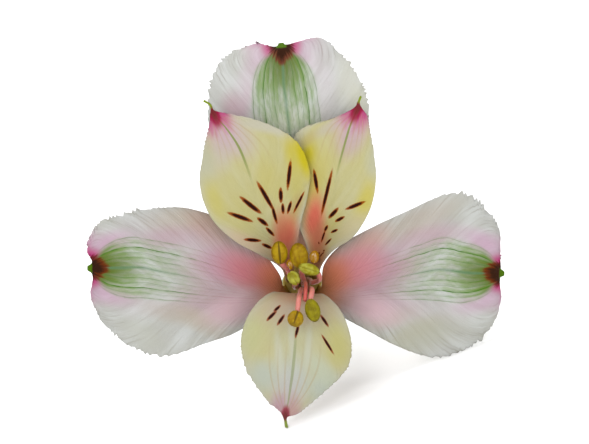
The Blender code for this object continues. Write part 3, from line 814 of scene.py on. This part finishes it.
def make_ovary(material):
    """The ribbed green ovary, with a flat top where the tepals and filaments stand."""
    bm = bmesh.new()
    run = bm.verts.layers.float_vector.new("run")
    bmesh.ops.create_uvsphere(bm, u_segments=96, v_segments=72, radius=1.0)
    for vert in bm.verts:
        place = math.acos(max(-1.0, min(1.0, -vert.co.z))) / math.pi
        angle = math.atan2(vert.co.y, vert.co.x)
        height = min(max((place - OVARY_FOOT_SHARE) / (1.0 - OVARY_FOOT_SHARE - OVARY_TOP_SHARE), 0.0), 1.0)
        radius = ovary_radius(height)
        if place < OVARY_FOOT_SHARE:
            radius *= place / OVARY_FOOT_SHARE
        if place > 1.0 - OVARY_TOP_SHARE:
            radius *= (1.0 - place) / OVARY_TOP_SHARE
        valley = 0.5 - 0.5 * math.cos(OVARY_RIBS * angle)
        radius *= 1.0 - OVARY_RIB_DEPTH * valley**0.7 * math.sin(math.pi * height) ** 0.6
        radius += 0.03 * noise.noise(vert.co * 5.0)
        vert[run] = (math.cos(angle), math.sin(angle), height)
        x, y = radius * math.cos(angle), radius * math.sin(angle)
        vert.co = Vector((x, y, OVARY_FOOT_Z + OVARY_LENGTH * height))
    return finish_mesh("ovary_skin", bm, (material,), ("ovary",))


def paint_filament(name, near, far):
    """Smooth pink, paler towards the ovary, with fine lengthwise lines."""
    paint = Paint(name, roughness=0.38, specular=0.45, subsurface=0.2)
    x, y, along = paint.split(paint.attribute("run"))
    lines = paint.noise(paint.join(paint.times(x, 4.0), paint.times(y, 4.0), along), 1.6)
    paint.skin = paint.blend(paint.fade(along, 0.35, 0.8), near, far)
    paint.lay(tint(232, 160, 140), paint.fade(lines, 0.5, 0.7), 0.35)
    paint.bump(lines, 0.2, 0.0002)
    return paint.finish()


def paint_anther(name, skin, shade, light):
    """Ochre pollen skin with a fine grain, and painted shade that darkens the seams and the ends, leaving the
    lobes lighter.
    """
    paint = Paint(name, roughness=0.5, specular=0.14)
    place = paint.object_place()
    _, height, seam = paint.split(paint.attribute("lobe"))
    paint.skin = paint.blend(paint.fade(paint.noise(place, 900.0, 3.0), 0.35, 0.65), skin, light)
    # Painted shade: the darker colour laid in the seams and towards both ends
    paint.lay(shade, paint.fade(seam, 0.03, 0.16), 0.85)
    paint.lay(shade, paint.fade(paint.unsigned(height), 0.75, 1.0), 0.5)
    paint.bump(paint.noise(place, 5200.0, 3.0, 0.6), 0.35, 0.00012)
    return paint.finish()


def paint_green(name, base, pale, stripe, stripes, end):
    """Green skin with fine lengthwise stripes, whose far end has its own colour, start and strength."""
    end_colour, end_start, end_strength = end
    paint = Paint(name, roughness=0.42, specular=0.4, subsurface=0.06)
    x, y, along = paint.split(paint.attribute("run"))
    lines = paint.noise(paint.join(x, y, paint.times(along, 0.4)), stripes, 3.0, 0.6)
    cloud = paint.noise(paint.object_place(), 160.0, 3.0)
    paint.skin = paint.blend(paint.fade(cloud, 0.3, 0.7), base, pale)
    paint.lay(stripe, paint.fade(lines, 0.48, 0.66), 0.6)
    paint.lay(end_colour, paint.fade(along, end_start, 1.0), end_strength)
    paint.bump(lines, 0.3, 0.0002)
    return paint.finish()


def filament_radius(at, _):
    """A filament thins towards its anther with slow swells, and draws in where it meets the anther."""
    swells = 1.0 - 0.12 * at + 0.04 * math.sin(23.0 * at)
    return FILAMENT_RADIUS * swells * (1.0 - 0.45 * ease(at, 0.95, 1.0))


def style_radius(at, turn):
    """The style thins a little, and its three lobes are folded together at the end."""
    lobes = 1.0 + 0.25 * ease(at, 0.96, 1.0) * math.cos(3.0 * turn)
    return STYLE_RADIUS * lobes * (1.0 - 0.1 * at)


def stalk_radius(at, turn):
    """The stalk tapers to its cut end, with five shallow ridges that twist slowly."""
    ridges = 1.0 + 0.025 * math.cos(5.0 * turn + 2.0 * at)
    return (STALK_RADIUS_TOP + (STALK_RADIUS_END - STALK_RADIUS_TOP) * at) * ridges


def make_stamen(name, route_seen, middle, pointing, size, seam_shade, pollen, filament_skin):
    """A filament from its foot on the ovary, along its route, to the anther on its end."""
    angle = math.radians(RING_ANGLES[name])
    foot = Vector((math.cos(angle), math.sin(angle), 0.0)) * FILAMENT_RING
    foot.z = FOOT_Z
    risen = foot + Vector((0.0, 0.0, FILAMENT_RISE))
    anther_foot = seen_from_eye(middle) - Vector(pointing).normalized() * size[0] * ANTHER_FOOT_SHARE
    route = [foot, risen, *(seen_from_eye(point) for point in route_seen), anther_foot]
    strand = "filament_" + name
    make_tube(strand + "_strand", route, filament_radius, filament_skin, (strand,))
    make_anther("anther_" + name, middle, pointing, size, seam_shade, pollen)


def make_nectar_drop(name, middle, size, material):
    """A bead of nectar that stands in the claw of an inner tepal."""
    bm = bmesh.new()
    bmesh.ops.create_uvsphere(bm, u_segments=32, v_segments=20, radius=0.5)
    bmesh.ops.scale(bm, vec=size, verts=bm.verts)
    bmesh.ops.translate(bm, vec=seen_from_eye(middle), verts=bm.verts)
    finish_mesh(name, bm, (material,))


def make_floor(material):
    """A plain floor that curves up far behind the flower."""
    bm = bmesh.new()
    bmesh.ops.create_grid(bm, x_segments=2, y_segments=48, size=FLOOR_HALF)
    for vert in bm.verts:
        past = vert.co.y - FLOOR_BEND
        if past > 0.0:
            turn = min(past / FLOOR_RADIUS, math.pi / 2)
            vert.co.z = FLOOR_RADIUS * (1.0 - math.cos(turn)) + max(past - FLOOR_RADIUS * math.pi / 2, 0.0)
            vert.co.y = FLOOR_BEND + FLOOR_RADIUS * math.sin(turn)
    mesh = bpy.data.meshes.new("floor")
    bm.to_mesh(mesh)
    bm.free()
    mesh.shade_smooth()
    mesh.materials.append(material)
    floor = bpy.data.objects.new("floor", mesh)
    bpy.context.scene.collection.objects.link(floor)


def add_lamp(name, place, target, size, power):
    """A square soft lamp that shines from its place to its target."""
    lamp = bpy.data.lights.new(name, "AREA")
    lamp.size = size
    lamp.energy = power
    lamp_object = bpy.data.objects.new(name, lamp)
    turn = (Vector(place) - Vector(target)).to_track_quat("Z", "Y").to_matrix().to_4x4()
    lamp_object.matrix_world = Matrix.Translation(place) @ turn
    bpy.context.scene.collection.objects.link(lamp_object)


def add_studio_light():
    """A white world, a lamp over the floor behind the flower and two lamps that look at its face."""
    world = bpy.data.worlds.new("studio")
    world.use_nodes = True
    background = world.node_tree.nodes["Background"]
    background.inputs["Color"].default_value = (1.0, 1.0, 1.0, 1.0)
    background.inputs["Strength"].default_value = 0.75
    bpy.context.scene.world = world
    face = LAY_DOWN @ Vector((0.0, 5.0, 0.0))
    add_lamp("floor_lamp", (0.0, 0.35, 0.9), (0.0, 0.35, 0.0), 0.9, 7.5)
    add_lamp("key_lamp", (-0.3, -0.85, 0.5), face, 0.6, 4.0)
    add_lamp("fill_lamp", (0.35, -0.85, 0.2), face, 0.6, 3.0)


def add_camera():
    """The camera stands at the eye and looks along the flower's own axis, as the photograph does."""
    camera = bpy.data.cameras.new("camera")
    camera.lens = CAMERA_LENS
    camera.sensor_width = 36.0
    camera.clip_start = 0.01
    camera_object = bpy.data.objects.new("camera", camera)
    turn = LAY_DOWN.to_3x3().normalized().to_4x4()
    camera_object.matrix_world = Matrix.Translation(LAY_DOWN @ EYE) @ turn
    bpy.context.scene.collection.objects.link(camera_object)
    bpy.context.scene.camera = camera_object
    bpy.context.scene.view_settings.view_transform = "Standard"


# A patch has x and y on the plane of the throat, an angle, two radii, a colour and a strength. Most are
# the tepal's own colour; the painted shade and painted light among them are marked where they stand
TOP_PATCHES = (
    (-10.5, 40.0, 80.0, 9.0, 3.0, LILAC, 0.2),
    (4.5, 43.0, 100.0, 8.0, 2.6, LILAC, 0.1),
    (-13.5, 33.5, 90.0, 6.0, 3.6, PINK, 0.5),
    (-11.0, 35.0, 80.0, 6.0, 1.6, PINK, 0.2),
    # Painted light: a pale patch that lifts the shade under the notch between the inner tepals
    (-2.6, 31.0, 90.0, 5.0, 10.0, tint(216, 216, 200), 0.7),
    (9.0, 39.0, 95.0, 9.0, 4.0, tint(206, 206, 194), 0.7),
    (11.0, 35.0, 95.0, 6.0, 3.0, tint(200, 200, 180), 0.6),
)
LEFT_PATCHES = (
    (-36.5, 8.5, 20.0, 6.0, 3.0, LILAC, 0.6),
    (-36.5, -1.5, 170.0, 7.0, 3.0, LILAC, 0.5),
    (-22.0, 13.0, 5.0, 12.0, 4.0, tint(197, 182, 168), 0.6),
    (-17.5, 11.0, 140.0, 8.0, 4.4, tint(196, 162, 152), 0.6),
    (-15.5, 4.0, 170.0, 11.0, 7.0, PINK, 0.75),
    (-17.0, -3.0, 170.0, 12.0, 5.0, PINK, 0.45),
    (-9.5, 2.6, 155.0, 10.0, 6.0, tint(218, 146, 152), 0.9),
    (-5.0, 2.0, 140.0, 6.0, 5.0, tint(236, 152, 134), 0.92),
    # Painted shade: the two tan patches below are the shade of a fold near the lower rim
    (-24.0, -5.2, -12.0, 10.0, 3.0, tint(186, 174, 158), 0.5),
    (-19.0, -7.0, -30.0, 8.0, 3.0, tint(196, 184, 170), 0.5),
    # Partly the sheet's own pale pink, partly painted light that lifts the shade where the sheet curves
    (-13.0, -4.0, 20.0, 9.0, 4.4, tint(232, 202, 210), 0.85),
    (-25.0, 9.5, 5.0, 10.0, 3.4, PINK, 0.4),
    (-31.0, -9.0, 150.0, 9.0, 4.0, GREY_GREEN_WHITE, 0.6),
)
RIGHT_PATCHES = (
    (34.5, 8.8, 160.0, 6.0, 3.0, LILAC, 0.6),
    (33.5, -3.0, 12.0, 7.0, 3.0, LILAC, 0.45),
    (22.0, 12.5, 25.0, 13.0, 4.0, tint(190, 178, 164), 0.6),
    (12.0, 8.0, 35.0, 8.0, 4.4, tint(212, 174, 166), 0.8),
    (14.6, 3.4, 15.0, 11.0, 6.6, PINK, 0.75),
    (15.0, -2.6, 165.0, 11.0, 5.0, PINK, 0.45),
    (9.0, 3.0, 25.0, 10.0, 6.0, tint(226, 160, 166), 0.9),
    (5.2, 2.0, 40.0, 6.0, 5.0, tint(246, 164, 142), 0.92),
    # Painted shade: the tan patch below is the shade of a fold near the lower rim
    (17.0, -6.2, 14.0, 9.0, 3.0, tint(190, 178, 170), 0.55),
    (22.0, -8.2, 25.0, 8.0, 2.8, tint(184, 178, 158), 0.5),
    (24.0, 9.5, 12.0, 10.0, 3.4, PINK, 0.4),
    # Partly the sheet's own pale pink, partly painted light that lifts the shade where the sheet curves
    (12.5, -4.0, 160.0, 9.0, 4.2, tint(230, 200, 208), 0.85),
    (23.0, -9.5, 20.0, 12.0, 4.6, tint(180, 180, 164), 0.7),
)
INNER_LEFT_PATCHES = (
    (-15.5, 26.5, 70.0, 8.0, 4.0, PALE_CREAM, 0.85),
    (-12.0, 28.5, 115.0, 6.0, 4.0, tint(198, 184, 182), 0.7),
    (-18.6, 23.0, 90.0, 7.0, 2.6, tint(190, 189, 164), 0.8),
    (-17.0, 16.5, 110.0, 7.0, 2.8, YELLOW, 0.75),
    (-12.0, 14.0, 140.0, 6.0, 4.0, tint(195, 187, 124), 0.5),
    (-1.4, 25.4, 108.0, 6.4, 3.0, DEEP_YELLOW, 0.8),
    (-1.0, 21.0, 95.0, 8.0, 3.6, YELLOW, 0.75),
    (-6.0, 20.0, 110.0, 8.0, 4.0, YELLOW, 0.45),
    (-8.5, 31.0, 165.0, 7.0, 1.7, tint(196, 192, 176), 0.8),
    (0.2, 25.0, 106.0, 7.5, 1.9, DEEP_YELLOW, 0.95),
    (-10.6, 8.4, 155.0, 8.0, 2.6, tint(206, 184, 158), 0.8),
    (-1.5, 14.8, 75.0, 5.0, 1.8, tint(190, 156, 98), 0.5),
    (-3.2, 10.2, 88.0, 5.6, 3.8, SALMON, 0.98),
    (-4.0, 12.6, 100.0, 4.4, 2.4, tint(206, 140, 108), 0.6),
    (-3.4, 6.0, 110.0, 5.0, 3.6, tint(206, 128, 104), 0.8),
)
INNER_RIGHT_PATCHES = (
    (9.6, 28.4, 70.0, 6.0, 3.6, tint(190, 172, 164), 0.75),
    (5.6, 31.0, 28.0, 6.0, 1.8, tint(192, 184, 166), 0.8),
    (13.6, 23.6, 95.0, 6.0, 2.6, tint(190, 189, 160), 0.8),
    (12.2, 16.5, 72.0, 7.0, 2.8, tint(202, 191, 104), 0.9),
    (1.0, 24.8, 80.0, 5.4, 2.8, DEEP_YELLOW, 0.92),
    (3.4, 22.5, 80.0, 7.0, 3.4, YELLOW, 0.7),
    (1.6, 19.0, 88.0, 6.0, 2.6, tint(194, 172, 92), 0.75),
    (9.4, 11.6, 40.0, 6.0, 3.0, tint(202, 192, 156), 0.7),
    (5.8, 12.4, 60.0, 5.0, 2.2, YELLOW, 0.5),
    (1.0, 28.4, 40.0, 3.0, 1.6, tint(190, 176, 120), 0.6),
    (2.2, 13.2, 82.0, 6.8, 2.9, SALMON, 0.99),
    (3.0, 9.0, 80.0, 6.0, 2.6, tint(206, 124, 100), 0.85),
    (3.0, 5.6, 70.0, 3.6, 2.4, tint(206, 150, 110), 0.8),
)
LOWER_PATCHES = (
    (-10.0, -9.5, 80.0, 7.0, 4.0, tint(193, 193, 140), 0.8),
    (7.2, -11.6, 100.0, 7.0, 4.0, tint(194, 188, 118), 0.85),
    (-1.0, -10.0, 0.0, 7.0, 6.0, tint(193, 193, 160), 0.6),
    (-1.0, -4.0, 0.0, 12.0, 5.6, tint(194, 174, 152), 0.9),
    (-0.8, -1.8, 0.0, 7.0, 2.6, tint(190, 148, 116), 0.85),
    (-2.2, -18.0, 90.0, 7.4, 7.0, tint(192, 198, 188), 0.95),
    (-7.6, -17.0, 120.0, 5.0, 4.0, tint(188, 194, 178), 0.95),
    (3.6, -19.0, 60.0, 5.0, 3.6, tint(190, 197, 182), 0.95),
    (-4.4, -22.4, 140.0, 3.0, 3.0, tint(186, 180, 172), 0.9),
    (3.6, -16.0, 130.0, 7.0, 3.0, tint(194, 200, 176), 0.8),
    (-4.6, -13.0, 95.0, 7.0, 1.2, tint(203, 205, 186), 0.6),
    (1.0, -12.0, 85.0, 7.0, 1.1, tint(203, 205, 186), 0.6),
    (-2.0, -11.5, 95.0, 9.0, 1.0, tint(203, 205, 190), 0.5),
)

# An outer tepal is its rungs, its tip and the heading back from it, its patches, some of them painted light
# and shade, its green middle, the correction of its colour and its folds
OUTER_TEPALS = {
    "outer_tepal_top": (
        OUTER_TOP, (-4.2, 46.9), -86.0, TOP_PATCHES,
        Green(reach=30.0, width=6.5, shift=-0.04), Grade(depth=1.0, level=1.04),
        Folds(teeth=1.1, wave=1.1, waves=5.0, crease=0.12, groove=0.18, seed=1.0),
    ),
    "outer_tepal_left": (
        OUTER_LEFT, (-41.4, 3.6), 1.0, LEFT_PATCHES,
        Green(reach=19.0, width=6.3, shift=0.14), Grade(depth=1.14, level=0.93),
        Folds(teeth=1.2, wave=1.5, waves=5.5, crease=0.13, groove=0.16, seed=4.0),
    ),
    "outer_tepal_right": (
        OUTER_RIGHT, (38.7, 2.6), 179.0, RIGHT_PATCHES,
        Green(reach=19.0, width=6.3, shift=-0.12), Grade(depth=1.14, level=0.94),
        Folds(teeth=1.2, wave=1.3, waves=5.0, crease=0.13, groove=0.16, seed=8.0),
    ),
}
for tepal, (rungs, tip, heading, patches, green, grade, folds) in OUTER_TEPALS.items():
    sides = [
        paint_outer(tepal + side, tip, heading, patches, green, grade, side == "_back")
        for side in SIDES
    ]
    make_tepal(tepal, OUTER_RING, OUTER_CLAW, rungs, folds, sides)

# An inner tepal is the same, with its streaks and the strength of its blush in place of the green middle
INNER_TEPALS = {
    "inner_tepal_left": (
        INNER_LEFT, (-17.4, 33.9), -66.0, INNER_LEFT_PATCHES, LEFT_STREAKS, 1.0,
        Grade(depth=1.06, level=0.94),
        Folds(teeth=0.4, wave=0.7, waves=4.0, crease=0.07, groove=0.22, seed=12.0),
    ),
    "inner_tepal_right": (
        INNER_RIGHT, (10.7, 34.8), -112.0, INNER_RIGHT_PATCHES, RIGHT_STREAKS, 1.0,
        Grade(depth=1.06, level=0.97),
        Folds(teeth=0.4, wave=0.5, waves=4.0, crease=0.07, groove=0.22, seed=15.0),
    ),
    "inner_tepal_lower": (
        INNER_LOWER, (-3.4, -25.0), 84.0, LOWER_PATCHES, LOWER_STREAKS, 0.4,
        Grade(depth=0.97, level=0.91),
        Folds(teeth=0.45, wave=0.5, waves=4.0, crease=0.06, groove=0.2, seed=19.0),
    ),
}
for tepal, (rungs, tip, heading, patches, streaks, blush, grade, folds) in INNER_TEPALS.items():
    sides = [
        paint_inner(tepal + side, tip, heading, patches, streaks, blush, grade, side == "_back")
        for side in SIDES
    ]
    make_tepal(tepal, INNER_RING, INNER_CLAW, rungs, folds, sides)

pink_filament = paint_filament("pink_filament", tint(224, 170, 130), tint(220, 130, 118))
mustard = paint_anther("mustard_anther", tint(150, 114, 0), tint(92, 66, 0), tint(178, 146, 0))
lime = paint_anther("lime_anther", tint(152, 142, 6), tint(104, 92, 0), tint(184, 182, 70))
olive = paint_anther("olive_anther", tint(124, 112, 0), tint(90, 70, 0), tint(148, 138, 4))

# How strongly the painted shade in each anther's seams shows, and its pollen
POLLEN = {
    "upper_left": (1.0, mustard), "upper": (0.35, mustard), "lower": (0.9, mustard),
    "upper_right": (0.5, lime), "lower_left": (0.5, lime), "lower_right": (0.15, olive),
}
for stamen, (route_seen, middle, pointing, size) in STAMENS.items():
    make_stamen(stamen, route_seen, middle, pointing, size, *POLLEN[stamen], pink_filament)

red_style = paint_filament("red_style", tint(206, 130, 100), tint(204, 78, 72))
style_route = [Vector((0.0, 0.0, FOOT_Z)), *(seen_from_eye(point) for point in STYLE_ROUTE)]
make_tube("style_strand", style_route, style_radius, red_style, ("style",))

ovary_green = paint_green(
    "ovary_green", tint(128, 150, 74), tint(150, 168, 96), tint(92, 118, 50), 3.2,
    end=(tint(196, 164, 60), 0.95, 0.9),
)
make_ovary(ovary_green)

stalk_green = paint_green(
    "stalk_green", tint(116, 146, 66), tint(140, 164, 88), tint(88, 118, 48), 2.6,
    end=(tint(196, 200, 150), 0.985, 0.8),
)
stalk_route = [Vector((0.0, 0.0, STALK_TOP_Z)), *(Vector(point) for point in STALK_ROUTE)]
make_tube("stalk_stem", stalk_route, stalk_radius, stalk_green, ("stalk",), around=40, steps=120)

nectar_paint = Paint("nectar", roughness=0.12, specular=0.5, coat=0.5)
nectar_paint.skin = tint(204, 150, 20)
nectar = nectar_paint.finish()
make_nectar_drop("nectar_drop_right", (2.2, 5.9, -18.6), (2.1, 2.8, 1.6), nectar)
make_nectar_drop("nectar_drop_left", (-2.5, 4.3, -18.8), (1.5, 2.2, 1.4), nectar)

floor_paint = Paint("floor_white", roughness=0.9, specular=0.1)
floor_paint.skin = (0.93, 0.93, 0.93)
make_floor(floor_paint.finish())
add_studio_light()
add_camera()
